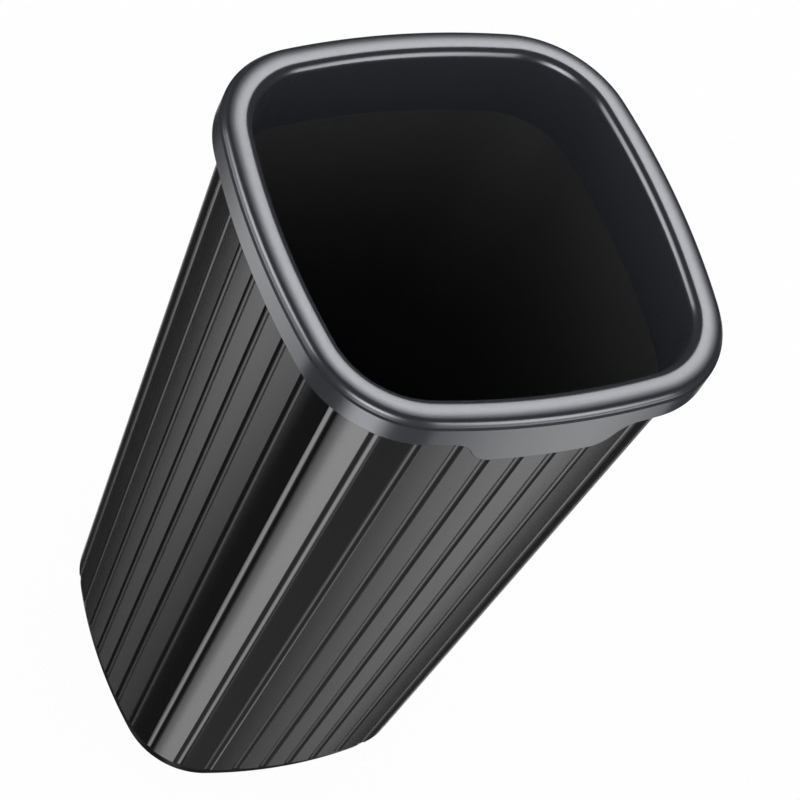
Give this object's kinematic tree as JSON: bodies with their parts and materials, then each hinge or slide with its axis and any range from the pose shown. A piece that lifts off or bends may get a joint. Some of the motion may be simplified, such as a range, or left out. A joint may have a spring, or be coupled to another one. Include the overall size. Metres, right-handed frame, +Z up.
{
  "type": "car trash bin",
  "caption": "Small open-topped tapering bin with a fluted rounded-square body and a lift-off rim ring that holds a bag.",
  "frame": {"origin": "centre of the foot, on the surface that the bin stands on", "axes": "+Z up through the mouth; -Y is the front, the side with the ring's tab; +X to the right when facing the tab"},
  "size_m": [0.1138, 0.1138, 0.197],
  "materials": {
    "body": "satin, fine grained",
    "ring": "satin, fine grained"
  },
  "bodies": {
    "bin": {"bin_body": "body"},
    "ring": {"bag_ring": "ring"}
  },
  "joints": [
    {"name": "ring_lift", "type": "slide", "parent": "bin", "child": "ring", "axis": [0, 0, 1], "range_m": [0, 0.03]}
  ]
}
